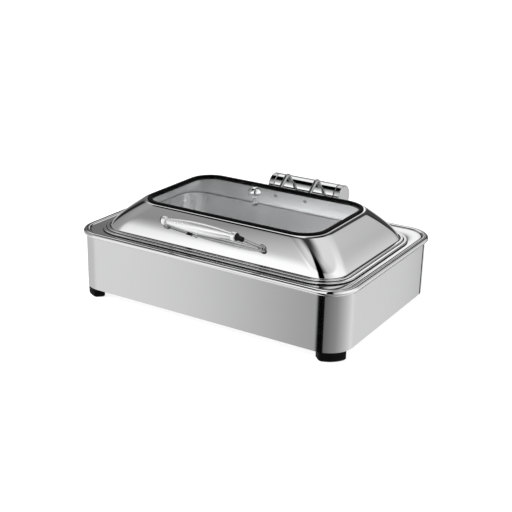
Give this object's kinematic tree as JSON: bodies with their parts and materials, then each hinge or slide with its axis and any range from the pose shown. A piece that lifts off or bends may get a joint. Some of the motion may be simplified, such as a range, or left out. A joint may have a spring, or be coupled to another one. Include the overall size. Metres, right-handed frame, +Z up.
{
  "type": "electric buffet food warmer",
  "caption": "Rectangular countertop food warmer with a hinged domed lid, glass window, spindle handle, water bath and lift-out food pan.",
  "frame": {"origin": "on the floor, under the middle of the whole object", "axes": "+X to the right along the long side, +Y from the handle side towards the hinge, +Z up"},
  "size_m": [0.5836, 0.4344, 0.2221],
  "materials": {
    "satin_steel": "satin brushed stainless sheet",
    "polished_steel": "mirror polished stainless sheet",
    "chrome": "bright chrome plate",
    "black_rubber": "black moulded rubber",
    "black_plastic": "black heat-proof plastic",
    "clear_glass": "clear toughened glass",
    "amber_lens": "tinted lamp lens",
    "plated_steel": "zinc plated",
    "element_steel": "heat-tinted steel",
    "copper_tube": "bare",
    "white_nylon": "moulded nylon",
    "wire_cover": "silicone wire cover"
  },
  "bodies": {
    "base": {"base_plate": "satin_steel", "base_screws": "plated_steel", "bulb_clip": "plated_steel", "control_plate": "satin_steel", "control_plate_screws": "plated_steel", "damper_rotor": "plated_steel", "deck_frame": "polished_steel", "element_clips": "plated_steel", "food_pan": "polished_steel", "foot_front_left": "black_rubber", "foot_front_right": "black_rubber", "foot_rear_left": "black_rubber", "foot_rear_right": "black_rubber", "foot_screws": "plated_steel", "heat_shield": "element_steel", "heating_element": "element_steel", "hinge_shaft": "plated_steel", "hinge_stand_left": "polished_steel", "hinge_stand_nuts": "plated_steel", "hinge_stand_right": "polished_steel", "hinge_stand_screws": "plated_steel", "inlet_pins": "copper_tube", "inlet_screws": "plated_steel", "outer_casing": "satin_steel", "pilot_lamp": "amber_lens", "power_inlet": "black_plastic", "shield_screws": "plated_steel", "shield_spacers": "plated_steel", "switch_frame": "black_plastic", "terminal_block": "white_nylon", "thermal_cutout": "element_steel", "thermostat_body": "black_plastic", "thermostat_bulb": "copper_tube", "water_pan": "polished_steel", "wiring": "wire_cover"},
    "lid": {"lid_shell": "polished_steel", "window_glass": "clear_glass", "window_gasket": "black_rubber", "knob_ball": "chrome", "knob_washers": "white_nylon", "knob_screw": "plated_steel", "handle_grip": "chrome", "handle_ferrule_left": "black_plastic", "handle_ferrule_right": "black_plastic", "handle_leg_left": "chrome", "handle_leg_right": "chrome", "handle_bolts": "plated_steel", "lid_arm_left": "chrome", "lid_arm_right": "chrome", "arm_bolts": "plated_steel", "hinge_barrel": "chrome", "hinge_bush_left": "white_nylon", "hinge_bush_right": "white_nylon", "damper_housing": "white_nylon"},
    "thermostat_dial": {"thermostat_knob": "black_plastic", "thermostat_shaft": "plated_steel"},
    "rocker": {"power_rocker": "black_plastic"}
  },
  "joints": [
    {"name": "lid_hinge", "type": "hinge", "parent": "base", "child": "lid", "pos_m": [0, 0.19243, 0.162], "axis": [-1, 0, 0], "range_deg": [0, 90]},
    {"name": "thermostat_turn", "type": "hinge", "parent": "base", "child": "thermostat_dial", "pos_m": [0.1, 0.18023, 0.07], "axis": [0, -1, 0], "range_deg": [0, 270]},
    {"name": "power_switch", "type": "hinge", "parent": "base", "child": "rocker", "pos_m": [0.162, 0.17913, 0.07], "axis": [-1, 0, 0], "range_deg": [0, 18]}
  ]
}
